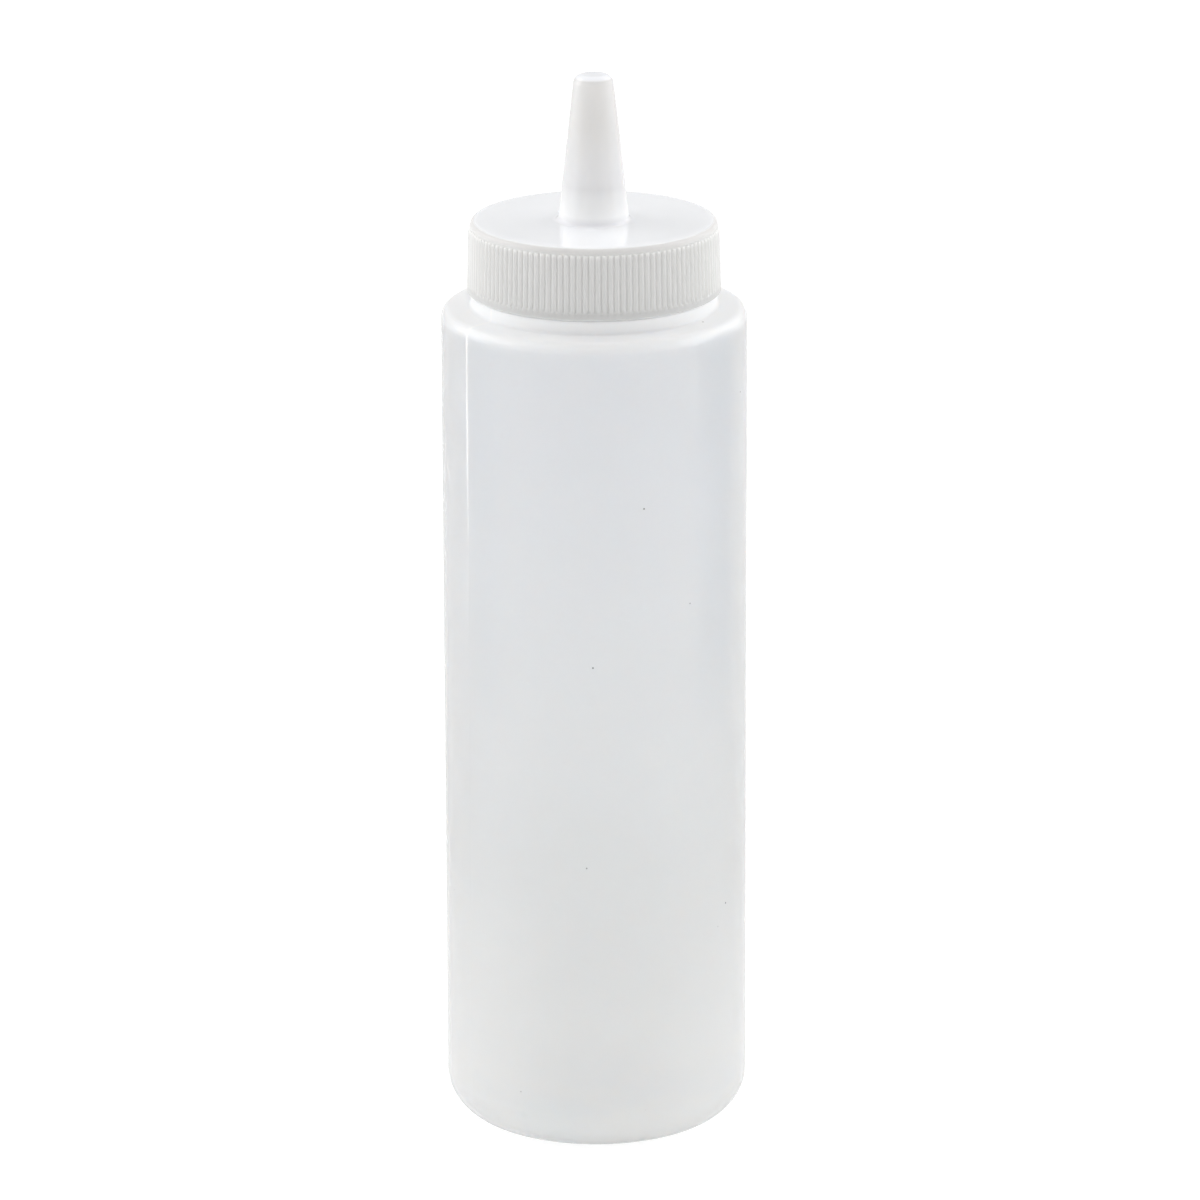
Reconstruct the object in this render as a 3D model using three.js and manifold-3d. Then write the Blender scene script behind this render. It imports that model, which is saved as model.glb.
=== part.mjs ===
// Squeeze sauce bottle with a cone-tipped screw cap and a sealing ring under the cap.
// Millimetres, +Z up. The origin is the centre of the circle that the bottle stands on.
import * as THREE from 'three';
import { mergeVertices } from 'three/addons/utils/BufferGeometryUtils.js';
import Module from 'manifold-3d';

const wasm = await Module();
wasm.setup();

// Bottle body: a blow-moulded cylinder with a rounded heel and a pushed-up base
const bodyDiameter = 50;
const shoulderHeight = 139.15;
const bodyWall = 0.9;
const heelRadius = 7.3;
const standingRingWidth = 2.6;
const pushUpDepth = 3.2;
const pushUpSlopeWidth = 6;
const shoulderEdgeWidth = 1.6;
const shoulderEdgeDrop = 1.95;
const shoulderRise = 0.25;

// Collar that fills the space between the shoulder and the cap
const collarDiameter = 40.4;
const collarFillet = 0.5;
const collarEdge = 0.4;

// Neck and its thread, of the 38 mm closure with six turns to the inch
const threadDiameter = 37.3;
const threadDepth = 1.26;
const neckBore = 31.2;
const threadPitch = 25.4 / 6;
const rimEdge = 0.45;
const rimBoreEdge = 0.3;
const bottleThreadTurns = 1.16;
const bottleThreadTopDrop = 1.0;
const bottleRidgeRootWidth = 2.4;
const bottleRidgeCrestWidth = 1.2;

// Cap: a flat disc over a plain band, and under the band a drafted skirt with moulded grip ribs
const capBandDiameter = 40.3;
const ribTopDiameter = 41.0;
const capBottomDiameter = 41.48;
const capBottomHeight = 141.84;
const capHeight = 11.79;
const capEdgeRadius = 0.9;
const capTopWall = 1.5;
const skirtLeadIn = 0.3;
const skirtFootEdge = 0.25;

// Grip ribs round the skirt, with V grooves between them that run out above a plain foot
const grooveCount = 124;
const grooveDepth = 0.36;
const grooveWidth = 0.62;
const ribTopMargin = 1.08;
const ribEndLength = 0.7;
const grooveBottomMargin = 1.6;
const grooveRunOut = 0.6;

// Thread inside the cap
const capThreadTurns = 1.12;
const capRidgeRootWidth = 2.0;
const capRidgeCrestWidth = 0.9;
const capThreadEndMargin = 0.3;

// Cone nozzle with a closed tip, which is cut to the size of hole that is wanted
const nozzleHeight = 24.07;
const nozzleBaseDiameter = 11.46;
const nozzleTipDiameter = 6.6;
const nozzleFillet = 0.7;
const nozzleTipRadius = 1.6;
const nozzleTipWall = 1.6;
const nozzleBoreBaseDiameter = 8.6;
const nozzleBoreTipDiameter = 3.0;

// Sealing ring that the cap carries above its thread
const linerThickness = 1.0;
const linerBore = 29.2;

// Running clearances
const seatGap = 0.3;
const skirtClearance = 0.4;
const threadCrestClearance = 0.4;
const threadFlankGap = 0.36;
const linerClearance = 0.36;

// Depth by which joined pieces sink into each other, and by which a cut overruns
const sink = 0.3;
const overrun = 1;

// Facets round each piece
const bottleSegments = 56;
const nozzleSegments = 36;
const linerSegments = 48;
const threadTaperTurns = 0.08;

const turn = 2 * Math.PI;
const quarter = Math.PI / 2;

// Sizes that follow from the ones above
const bodyRadius = bodyDiameter / 2;
const collarRadius = collarDiameter / 2;
const boreRadius = neckBore / 2;
const threadRadius = threadDiameter / 2;
const neckRadius = threadRadius - threadDepth;
const standOuterRadius = bodyRadius - heelRadius;
const standInnerRadius = standOuterRadius - standingRingWidth;
const capTopHeight = capBottomHeight + capHeight;
const ribTopHeight = capTopHeight - ribTopMargin;
const ribFullHeight = ribTopHeight - ribEndLength;
const capUnderside = capTopHeight - capTopWall;
const linerBottom = capUnderside - seatGap - linerThickness;
const rimHeight = linerBottom - seatGap;
const collarTop = capBottomHeight - seatGap;
const skirtBoreRadius = threadRadius + skirtClearance;
const capCrestRadius = neckRadius + threadCrestClearance;
const linerRadius = skirtBoreRadius - linerClearance;
const bottleThreadTop = rimHeight - bottleThreadTopDrop - bottleRidgeRootWidth / 2;
const bottleThreadStart = bottleThreadTop - threadPitch * bottleThreadTurns;

// Points of an elliptical arc in the (radius, height) plane, angles from the outward direction
function arc(centreRadius, centreHeight, width, height, fromAngle, toAngle, steps) {
  const points = [];
  for (let i = 0; i <= steps; i += 1) {
    const angle = fromAngle + (toAngle - fromAngle) * i / steps;
    const radius = centreRadius + width * Math.cos(angle);
    points.push(new THREE.Vector2(radius, centreHeight + height * Math.sin(angle)));
  }
  return points;
}

function point(radius, height) {
  return new THREE.Vector2(radius, height);
}

// A closed mesh with shared corners, as a solid that can be joined and cut
function solidOf(geometry) {
  const bare = geometry.clone();
  bare.deleteAttribute('normal');
  bare.deleteAttribute('uv');
  const welded = mergeVertices(bare);
  const corners = welded.index.array;
  const kept = [];
  for (let i = 0; i < corners.length; i += 3) {
    const [a, b, c] = corners.slice(i, i + 3);
    if (a !== b && b !== c && c !== a) kept.push(a, b, c);
  }
  const vertProperties = new Float32Array(welded.attributes.position.array);
  const mesh = new wasm.Mesh({ numProp: 3, vertProperties, triVerts: new Uint32Array(kept) });
  return new wasm.Manifold(mesh);
}

function geometryOf(solid) {
  const mesh = solid.getMesh();
  const geometry = new THREE.BufferGeometry();
  geometry.setAttribute('position', new THREE.BufferAttribute(mesh.vertProperties, 3));
  geometry.setIndex(new THREE.BufferAttribute(mesh.triVerts, 1));
  geometry.computeVertexNormals();
  return geometry;
}

// A profile that starts and ends on the axis, or closes on itself, turned round the Z axis
function revolve(profile, segments) {
  const geometry = new THREE.LatheGeometry(profile, segments);
  geometry.rotateX(quarter);
  return solidOf(geometry);
}

// A closed skin over a row of sections that have the same number of corners, which run
// anticlockwise when they are seen from the far end of the row
function loft(sections) {
  const corners = sections[0].length;
  const positions = sections.flat().flatMap((corner) => [corner.x, corner.y, corner.z]);
  const index = [];
  for (let s = 0; s + 1 < sections.length; s += 1) {
    for (let c = 0; c < corners; c += 1) {
      const next = (c + 1) % corners;
      const low = s * corners;
      const high = low + corners;
      index.push(low + c, low + next, high + next, low + c, high + next, high + c);
    }
  }
  const last = (sections.length - 1) * corners;
  for (let c = 1; c + 1 < corners; c += 1) {
    index.push(0, c + 1, c);
    index.push(last, last + c, last + c + 1);
  }
  const geometry = new THREE.BufferGeometry();
  geometry.setAttribute('position', new THREE.Float32BufferAttribute(positions, 3));
  geometry.setIndex(index);
  return solidOf(geometry);
}

// A place on a circle round the Z axis
function polar(radius, angle, height) {
  return new THREE.Vector3(radius * Math.cos(angle), radius * Math.sin(angle), height);
}

// How far a ridge stands up along its length: nothing at its two ends, full between the tapers
function taper(turnsFromStart, turns) {
  const toEnd = Math.min(turnsFromStart, turns - turnsFromStart);
  const share = Math.min(toEnd / threadTaperTurns, 1);
  return Math.sin(share * quarter);
}

// A right-hand thread ridge of trapezium section, whose root lies inside the wall that carries it.
// It follows the helix that stands at helixHeight where the angle is zero, and its sections stand
// midway between the corners of that wall, so that the two meshes share no edge.
function threadRidge({
  rootRadius, wallRadius, crestRadius, rootWidth, crestWidth, turns, steps, firstStep, helixHeight,
}) {
  const outward = Math.sign(crestRadius - wallRadius);
  const stations = Math.round(turns * steps);
  const sections = [];
  for (let i = 0; i <= stations; i += 1) {
    const angle = turn * (firstStep + i) / steps;
    const height = helixHeight + threadPitch * (firstStep + i) / steps;
    const stand = taper(i / steps, stations / steps);
    const reach = sink / 2 * (stand - 1) * outward;
    const crest = THREE.MathUtils.lerp(wallRadius, crestRadius, stand) + reach;
    const corners = [
      polar(rootRadius, angle, height - rootWidth / 2),
      polar(crest, angle, height - crestWidth / 2),
      polar(crest, angle, height + crestWidth / 2),
      polar(rootRadius, angle, height + rootWidth / 2),
    ];
    sections.push(outward > 0 ? corners.reverse() : corners);
  }
  return loft(sections);
}

// The underside of the base, from its centre to the ring that the bottle stands on
function pushUpProfile(lift) {
  const steps = 4;
  const points = [point(0, pushUpDepth + lift)];
  for (let i = 0; i <= steps; i += 1) {
    const fall = (1 + Math.cos(Math.PI * i / steps)) / 2;
    const radius = standInnerRadius - pushUpSlopeWidth * (1 - i / steps);
    points.push(point(radius, pushUpDepth * fall + lift));
  }
  return points;
}

function bottleOutside() {
  const edgeRadius = bodyRadius - shoulderEdgeWidth;
  const edgeHeight = shoulderHeight - shoulderEdgeDrop;
  const collarBase = shoulderHeight + shoulderRise;
  return [
    ...pushUpProfile(0),
    ...arc(standOuterRadius, heelRadius, heelRadius, heelRadius, -quarter, 0, 5),
    ...arc(edgeRadius, edgeHeight, shoulderEdgeWidth, shoulderEdgeDrop, 0, quarter, 4),
    ...arc(collarRadius + collarFillet, collarBase + collarFillet,
      collarFillet, collarFillet, -quarter, -2 * quarter, 2),
    ...arc(collarRadius - collarEdge, collarTop - collarEdge, collarEdge, collarEdge, 0, quarter, 2),
    point(neckRadius, collarTop),
    ...arc(neckRadius - rimEdge, rimHeight - rimEdge, rimEdge, rimEdge, 0, quarter, 2),
    point(boreRadius + rimBoreEdge, rimHeight),
    point(boreRadius, rimHeight - rimBoreEdge),
  ];
}

// The inside of the bottle, from the neck bore down to the middle of the base
function bottleInside() {
  const edgeRadius = bodyRadius - shoulderEdgeWidth;
  const edgeHeight = shoulderHeight - shoulderEdgeDrop;
  const collarInside = collarRadius - bodyWall;
  const collarBase = shoulderHeight + shoulderRise - bodyWall;
  const innerHeel = heelRadius - bodyWall;
  return [
    point(boreRadius, collarTop - bodyWall),
    point(collarInside, collarBase + collarFillet),
    point(collarInside + collarFillet, collarBase),
    ...arc(edgeRadius, edgeHeight,
      shoulderEdgeWidth - bodyWall, shoulderEdgeDrop - bodyWall, quarter, 0, 2),
    ...arc(standOuterRadius, heelRadius, innerHeel, innerHeel, 0, -quarter, 4),
    ...pushUpProfile(bodyWall).reverse(),
  ];
}

function bottleSolid() {
  const shell = revolve([...bottleOutside(), ...bottleInside()], bottleSegments);
  const ridge = threadRidge({
    rootRadius: neckRadius - sink,
    wallRadius: neckRadius,
    crestRadius: threadRadius,
    rootWidth: bottleRidgeRootWidth,
    crestWidth: bottleRidgeCrestWidth,
    turns: bottleThreadTurns,
    steps: bottleSegments,
    firstStep: 1 / 2,
    helixHeight: bottleThreadStart,
  });
  return shell.add(ridge);
}

// The skirt and the disc as one turned shape, without its grooves and its thread
function capShell() {
  const bottomRadius = capBottomDiameter / 2;
  const bandRadius = capBandDiameter / 2;
  const ribStand = ribTopDiameter / 2 - bandRadius;
  const profile = [
    point(0, capUnderside),
    point(skirtBoreRadius, capUnderside),
    point(skirtBoreRadius, capBottomHeight + skirtLeadIn),
    point(skirtBoreRadius + skirtLeadIn, capBottomHeight),
    point(bottomRadius - skirtFootEdge, capBottomHeight),
    point(bottomRadius, capBottomHeight + skirtFootEdge),
    ...arc(bandRadius, ribFullHeight, ribStand, ribEndLength, 0, quarter, 1),
    ...arc(bandRadius - capEdgeRadius, capTopHeight - capEdgeRadius,
      capEdgeRadius, capEdgeRadius, 0, quarter, 3),
    point(0, capTopHeight),
  ];
  return revolve(profile, grooveCount);
}

// The radius over the ribs at a height below their rounded upper ends
function ribFace(height) {
  const share = (height - capBottomHeight) / (ribFullHeight - capBottomHeight);
  return THREE.MathUtils.lerp(capBottomDiameter / 2, ribTopDiameter / 2, share);
}

// One groove as a slender wedge. It runs out to the ribs' face at its foot, and its floor
// meets the plain band at its upper end.
function grooveCutter(angle) {
  const low = capBottomHeight + grooveBottomMargin;
  const foot = low - grooveRunOut;
  const stations = [
    { height: foot, floor: ribFace(foot) + grooveDepth / 4 },
    { height: low, floor: ribFace(low) - grooveDepth },
    { height: ribTopHeight, floor: capBandDiameter / 2 + grooveDepth / 8 },
  ];
  const sections = stations.map(({ height, floor }) => {
    const mouth = ribFace(height) + grooveDepth;
    const halfMouth = grooveWidth / mouth;
    return [
      polar(floor, angle, height),
      polar(mouth, angle - halfMouth, height),
      polar(mouth, angle + halfMouth, height),
    ];
  });
  return loft(sections);
}

function gripGrooves() {
  const step = turn / grooveCount;
  const cutters = [];
  for (let i = 0; i < grooveCount; i += 1) cutters.push(grooveCutter(step * (i + 1 / 2)));
  return wasm.Manifold.union(cutters);
}

// Half the axial width of a ridge at a radius between its wall and its crest
function halfWidthAt(radius, wallRadius, crestRadius, rootWidth, crestWidth) {
  const share = (radius - wallRadius) / (crestRadius - wallRadius);
  return THREE.MathUtils.lerp(rootWidth, crestWidth, share) / 2;
}

// How far the cap's ridge lies under the bottle's, so that their flanks keep their gap
function threadOffset() {
  const rootWidth = bottleRidgeRootWidth;
  const capRoot = capRidgeRootWidth;
  const flankAt = (radius) => {
    const bottleHalf = halfWidthAt(radius, neckRadius, threadRadius, rootWidth, bottleRidgeCrestWidth);
    const capHalf = halfWidthAt(radius, skirtBoreRadius, capCrestRadius, capRoot, capRidgeCrestWidth);
    return bottleHalf + capHalf;
  };
  return Math.max(flankAt(capCrestRadius), flankAt(threadRadius)) + threadFlankGap;
}

function capThread() {
  const steps = grooveCount / 2;
  const lowest = capBottomHeight + capThreadEndMargin + capRidgeRootWidth / 2;
  const helixHeight = bottleThreadStart - threadOffset();
  const firstStep = Math.ceil(steps * (lowest - helixHeight) / threadPitch) + 1 / 4;
  return threadRidge({
    rootRadius: skirtBoreRadius + sink,
    wallRadius: skirtBoreRadius,
    crestRadius: capCrestRadius,
    rootWidth: capRidgeRootWidth,
    crestWidth: capRidgeCrestWidth,
    turns: capThreadTurns,
    steps,
    firstStep,
    helixHeight,
  });
}

// The nozzle as a solid cone with a fillet at its foot and a rounded tip
function nozzleCone() {
  const baseRadius = nozzleBaseDiameter / 2;
  const tipRadius = nozzleTipDiameter / 2;
  const tipHeight = capTopHeight + nozzleHeight;
  const slope = Math.atan2(baseRadius - tipRadius, nozzleHeight);
  const profile = [
    point(0, capTopHeight - sink),
    point(baseRadius + nozzleFillet, capTopHeight - sink),
    ...arc(baseRadius + nozzleFillet, capTopHeight + nozzleFillet,
      nozzleFillet, nozzleFillet, -quarter, -2 * quarter + slope, 3),
    ...arc(tipRadius - nozzleTipRadius, tipHeight - nozzleTipRadius,
      nozzleTipRadius, nozzleTipRadius, slope, quarter, 4),
    point(0, tipHeight),
  ];
  return revolve(profile, nozzleSegments);
}

// The hollow of the nozzle, open to the underside of the cap
function nozzleBore() {
  const tipHeight = capTopHeight + nozzleHeight - nozzleTipWall;
  const profile = [
    point(0, capUnderside - overrun),
    point(nozzleBoreBaseDiameter / 2, capUnderside - overrun),
    point(nozzleBoreBaseDiameter / 2, capUnderside),
    point(nozzleBoreTipDiameter / 2, tipHeight),
    point(0, tipHeight),
  ];
  return revolve(profile, nozzleSegments);
}

function capSolid() {
  return capShell().subtract(gripGrooves()).add(capThread()).add(nozzleCone()).subtract(nozzleBore());
}

function linerSolid() {
  const inner = linerBore / 2;
  const low = linerBottom;
  const high = linerBottom + linerThickness;
  const profile = [
    point(inner, low),
    point(linerRadius, low),
    point(linerRadius, high),
    point(inner, high),
    point(inner, low),
  ];
  return revolve(profile, linerSegments);
}

function piece(name, solid, color, roughness) {
  const material = new THREE.MeshStandardMaterial({ color, roughness, metalness: 0 });
  const mesh = new THREE.Mesh(geometryOf(solid), material);
  mesh.name = name;
  return mesh;
}

const sauceBottle = new THREE.Group();
sauceBottle.add(piece('bottle', bottleSolid(), 0xdbdfe2, 0.38));
sauceBottle.add(piece('sealing_ring', linerSolid(), 0xf2f1ec, 0.8));
sauceBottle.add(piece('screw_cap', capSolid(), 0xe3e3e1, 0.3));

export default sauceBottle;
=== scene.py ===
"""Squeeze sauce bottle with a cone-tipped screw cap: the finished surfaces, materials, light and camera.

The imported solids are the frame. Each one is replaced by a finely modelled piece of the same size and place.
"""

import math

import bmesh
import bpy
from bpy.props import FloatProperty, FloatVectorProperty, IntProperty, PointerProperty
from mathutils import Matrix, Vector


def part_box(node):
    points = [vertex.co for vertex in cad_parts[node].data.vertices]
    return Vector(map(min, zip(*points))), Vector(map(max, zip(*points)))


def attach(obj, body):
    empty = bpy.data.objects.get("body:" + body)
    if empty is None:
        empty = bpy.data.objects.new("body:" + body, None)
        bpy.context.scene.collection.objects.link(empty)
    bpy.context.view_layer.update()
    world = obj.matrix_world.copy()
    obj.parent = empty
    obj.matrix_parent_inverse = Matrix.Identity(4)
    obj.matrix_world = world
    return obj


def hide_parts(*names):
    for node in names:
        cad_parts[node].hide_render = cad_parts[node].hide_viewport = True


bl_info = {
    "name": "Squeeze Sauce Bottle",
    "version": (1, 0, 0),
    "blender": (4, 5, 0),
    "location": "3D View > Sidebar > Sauce Bottle",
    "description": "Builds a polyethylene squeeze bottle with a ribbed, cone-tipped screw cap",
    "category": "Object",
}

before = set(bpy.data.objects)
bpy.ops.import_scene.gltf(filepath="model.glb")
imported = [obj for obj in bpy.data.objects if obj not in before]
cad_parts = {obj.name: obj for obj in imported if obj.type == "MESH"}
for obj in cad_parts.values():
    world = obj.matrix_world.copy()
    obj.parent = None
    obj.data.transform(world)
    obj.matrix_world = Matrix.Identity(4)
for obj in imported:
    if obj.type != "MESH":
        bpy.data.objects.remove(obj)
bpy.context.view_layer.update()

MM = 0.001
QUARTER = math.pi / 2

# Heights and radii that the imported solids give
BODY_RADIUS, _, RIM_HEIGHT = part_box("bottle")[1]
CAP_FOOT_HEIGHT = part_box("screw_cap")[0].z
CAP_FOOT_RADIUS, _, TIP_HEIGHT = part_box("screw_cap")[1]
SEAL_FOOT_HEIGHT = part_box("sealing_ring")[0].z
SEAL_RADIUS, _, SEAL_TOP_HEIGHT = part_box("sealing_ring")[1]

# Columns of faces round each piece
BODY_COLUMNS = 240
CAP_COLUMNS = 248
COLUMNS_PER_RIB = 8
SEAL_COLUMNS = 120
THREAD_COLUMNS = 90

# How far the first rib's middle lies clockwise of the front
RIB_OFFSET = math.radians(1.05)
# From the middle of one rib to the middle of the next, each column's share of the groove's depth
GROOVE_SHARES = (0.0, 0.05, 0.35, 0.8, 1.0, 0.8, 0.35, 0.05, 0.0)

# The mould's parting plane, as the angle of its front half anticlockwise from the X axis
PARTING_ANGLE = math.radians(214.5)
ACROSS_PARTING = (-math.sin(PARTING_ANGLE), math.cos(PARTING_ANGLE), 0)
# The zones of the parting line: their lower ends, in millimetres above the table, and shares of its height
PARTING_ZONES = ((0, 0.35), (30, 0.3), (60, 0.35), (80, 0.5), (100, 0.7), (118, 0.85), (132, 1.0))
PARTING_END = 160

# Six thread turns to the inch, on the neck and in the cap
THREAD_PITCH = 25.4 / 6 * MM
# How deep a thread ridge's root lies in its wall
THREAD_SUNK = 0.3 * MM

# Points of one piece that are closer than this are the same point
SAME_POINT = MM / 1000

POLYETHYLENE_IOR = 1.51
WHITE = (1, 1, 1, 1)
# Settings of the nodes that mix two colours, or multiply them
MIX = {"data_type": "RGBA"}
MULTIPLY = {"data_type": "RGBA", "blend_type": "MULTIPLY"}

# The stage, in metres
FLOOR_WIDTH = 12
# Softboxes: name, place, width, height, and the stage level that is the power
SOFTBOXES = (
    ("left_softbox", (-0.9, -0.05, 0.35), 0.5, 0.9, "left"),
    ("right_softbox", (0.9, 0.0, 0.35), 0.5, 0.9, "right"),
    ("top_softbox", (0, 0.1, 1.1), 0.55, 0.4, "top"),
    ("left_rim_lamp", (-0.718, 0.348, 0.56), 0.45, 0.9, "rim"),
    ("right_rim_lamp", (0.68, 0.5, 0.52), 0.45, 0.9, "rim"),
)
# The point near the bottle's middle that all softboxes face
LIT_POINT = (0, 0, 0.09)
# Grey cards: name, place of the middle, and width
GREY_CARDS = (("left_card", (-0.249, -0.012, 0.1), 0.115), ("right_card", (0.247, 0.044, 0.1), 0.18))


def linear(hex_colour):
    """An sRGB hex colour as linear red, green, blue and alpha."""
    values = [int(hex_colour[i : i + 2], 16) / 255 for i in (1, 3, 5)]
    return tuple(v / 12.92 if v <= 0.04045 else ((v + 0.055) / 1.055) ** 2.4 for v in values) + (1.0,)


def length(title, text, millimetres):
    """A size property in metres, from a default in millimetres."""
    return FloatProperty(name=title, description=text, default=millimetres * MM, unit="LENGTH", precision=5)


def colour(title, text, hex_colour):
    """A colour property, from an sRGB hex default."""
    return FloatVectorProperty(
        name=title, description=text, default=linear(hex_colour), subtype="COLOR", size=4, min=0, max=1
    )


def level(title, text, default):
    """A light level property."""
    return FloatProperty(name=title, description=text, default=default, min=0)


class BottleSizes(bpy.types.PropertyGroup):
    """Sizes of the blow-moulded bottle."""

    wall: length("Wall", "Thickness of the body's wall", 0.9)
    heel: length("Heel radius", "Rounding between the wall and the base", 7.3)
    standing_width: length("Standing ring", "Width of the flat ring that the bottle stands on", 2.6)
    push_up: length("Push-up", "Depth of the hollow in the base", 3.2)
    push_up_slope: length("Push-up slope", "Width of the slope round that hollow", 6.0)
    shoulder_height: length("Shoulder height", "Height of the shoulder above the table", 139.15)
    shoulder_edge_width: length("Shoulder edge width", "Rounding of the shoulder, inwards", 1.6)
    shoulder_edge_drop: length("Shoulder edge drop", "Rounding of the shoulder, downwards", 1.95)
    shoulder_rise: length("Shoulder rise", "Rise of the shoulder towards the collar", 0.25)
    collar_radius: length("Collar radius", "Radius of the collar under the cap", 20.2)
    collar_top: length("Collar top", "Height of the collar's top face", 141.76)
    neck_radius: length("Neck radius", "Radius of the neck between its threads", 17.39)
    thread_radius: length("Thread radius", "Radius over the neck's thread", 18.65)
    bore_radius: length("Bore radius", "Radius of the neck's bore", 15.6)
    parting_height: length("Parting line height", "How far the mould's parting line stands out", 0.05)
    parting_width: length("Parting line width", "Width of the mould's parting line", 0.3)
    weld_width: length("Base weld width", "Width of the weld where the mould pinched the base shut", 1.3)
    weld_height: length("Base weld height", "How far that weld stands out, inside and outside", 0.45)


class CapSizes(bpy.types.PropertyGroup):
    """Sizes of the injection-moulded screw cap."""

    rib_count: IntProperty(name="Ribs", description="Grip ribs round the skirt", default=124, min=12)
    rib_stand: length("Rib height", "How far the ribs stand out", 0.32)
    disc_height: length("Disc height", "Height of the cap's flat top above the table", 153.63)
    disc_wall: length("Disc wall", "Thickness of the flat top", 1.5)
    edge: length("Disc edge", "Rounding of the disc's edge", 0.9)
    band_radius: length("Band radius", "Radius of the plain band over the ribs", 20.15)
    rib_top_radius: length("Rib top radius", "Radius over the ribs at their upper ends", 20.5)
    rib_top_drop: length("Rib top drop", "From the disc down to the ribs' upper ends", 1.08)
    rib_end: length("Rib end", "Length over which a rib's upper end is rounded", 0.7)
    foot_band: length("Foot band", "Height of the plain band at the skirt's foot", 1.0)
    foot_ramp: length("Foot ramp", "Length over which the grooves run out above it", 0.6)
    skirt_bore: length("Skirt bore", "Radius of the skirt's bore", 19.05)
    thread_crest: length("Thread crest", "Radius inside the cap's thread", 17.79)
    nozzle_base: length("Nozzle base radius", "Radius of the cone at its foot", 5.73)
    nozzle_tip: length("Nozzle tip radius", "Radius of the cone at its tip", 3.3)
    nozzle_fillet: length("Nozzle fillet", "Rounding between cone and disc", 0.7)
    nozzle_rounding: length("Nozzle rounding", "Rounding of the cone's tip", 1.6)
    nozzle_tip_wall: length("Nozzle tip wall", "Thickness of the closed tip", 1.6)


class Finishes(bpy.types.PropertyGroup):
    """Colours of the materials."""

    body_upper: colour("Body, upper part", "Natural polyethylene high on the bottle", "#F8FBFF")
    body_lower: colour("Body, lower part", "Natural polyethylene low on the bottle", "#F9FBFA")
    # Painted light: a paler body colour for the shoulder and the collar, against the shade under the cap
    shoulder_painted_light: colour("Body, thickest part", "Natural polyethylene of the shoulder and collar", "#FAFCFF")
    weld: colour("Base weld", "Thick plastic of the weld across the base", "#C4D2E4")
    cool_patch: colour("Base, cool patches", "Patches near the base, a little bluer", "#E6EFFC")
    warm_patch: colour("Base, warm patches", "Patches near the base, a little warmer", "#FEFCF4")
    # Painted light and shade: the cap is one plastic, and these are its colours as lit, lighter on the disc
    # and round the cone, darker in the corner and on the ribbed skirt
    cap_disc_as_lit: colour("Cap, disc", "Polyethylene of the cap, where light comes through it", "#E0E1E3")
    cap_cone_as_lit: colour("Cap, cone", "The same plastic in the cone's thicker wall", "#EBEAE9")
    cap_cone_foot_lit: colour("Cap, foot of the cone", "The same plastic where cone and disc meet", "#F9F9FB")
    cap_fillet_highlight: colour("Cap, rounding", "The same plastic in the rounding between cone and disc", "#EBEBED")
    cap_tip_as_lit: colour("Cap, tip", "The same plastic in the solid tip of the cone", "#DFE0E3")
    # Painted shade where disc and skirt meet
    cap_corner_shade: colour("Cap, corner", "The same plastic where disc and skirt meet, denser", "#C7C6C5")
    cap_ribbed_shade: colour("Cap, ribbed skirt", "The same plastic over the neck, least lit", "#BCBCBB")
    speck: colour("Specks", "Scorched grains in the plastic", "#7D7F80")
    foam: colour("Seal foam", "Polyethylene foam of the seal", "#F0EEE8")
    floor: colour("Floor", "White paper that the bottle stands on", "#F4F4F4")
    card_dark: colour("Cards, darker", "Blue-grey card beside the bottle", "#98A4B2")
    card_pale: colour("Cards, paler", "Clouds in the same card", "#A0ACB6")


class StageLevels(bpy.types.PropertyGroup):
    """Strengths of the light."""

    front: level("Front", "Soft light from the camera's side", 0.83)
    back: level("Back", "Soft light from the backdrop's side", 1.15)
    reflected: level("Reflected", "Brightness of the dim studio that smooth surfaces reflect", 0.54)
    left: level("Left lamp", "Power of the left softbox", 1.8)
    right: level("Right lamp", "Power of the right softbox", 1.8)
    top: level("Top lamp", "Power of the softbox overhead", 1.4)
    under: level("Under", "Light that comes up through the paper", 0.22)
    paper_seen: level("Paper as seen", "How brightly the paper shows to the camera", 0.9)
    paper_reflected: level("Paper in reflections", "How brightly the paper shows in reflections", 0.7)
    rim: level("Rim lamps", "Power of each lamp behind the bottle's sides", 1.7)
    sheen: level("Sheen", "How much brighter the rim lamps are in reflections", 6.0)


def deselect_everything():
    """Leaves edit mode and deselects all objects."""
    if bpy.context.object is not None and bpy.context.object.mode != "OBJECT":
        bpy.ops.object.mode_set(mode="OBJECT")
    bpy.ops.object.select_all(action="DESELECT")


def make_active(piece):
    """Selects one object alone and makes it the active one."""
    deselect_everything()
    piece.select_set(True)
    bpy.context.view_layer.objects.active = piece


def select_points(piece, test):
    """In edit mode, selects the points that pass a test, with the edges and faces between them."""
    bpy.ops.mesh.select_mode(type="VERT")
    bpy.ops.mesh.select_all(action="DESELECT")
    mesh = bmesh.from_edit_mesh(piece.data)
    for v in mesh.verts:
        if test(v.co):
            v.select = True
    mesh.select_flush(True)
    bmesh.update_edit_mesh(piece.data)


def arc(centre_radius, centre_height, width, height, start, end, steps):
    """Points of an elliptical arc in the plane of radius and height."""
    points = []
    for i in range(steps + 1):
        angle = start + (end - start) * i / steps
        points.append((centre_radius + width * math.cos(angle), centre_height + height * math.sin(angle)))
    return points


def straight(start, end, steps):
    """Evenly spaced points after start, up to and with end."""
    return [
        tuple(a + (b - a) * i / steps for a, b in zip(start, end, strict=True)) for i in range(1, steps + 1)
    ]


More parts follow.
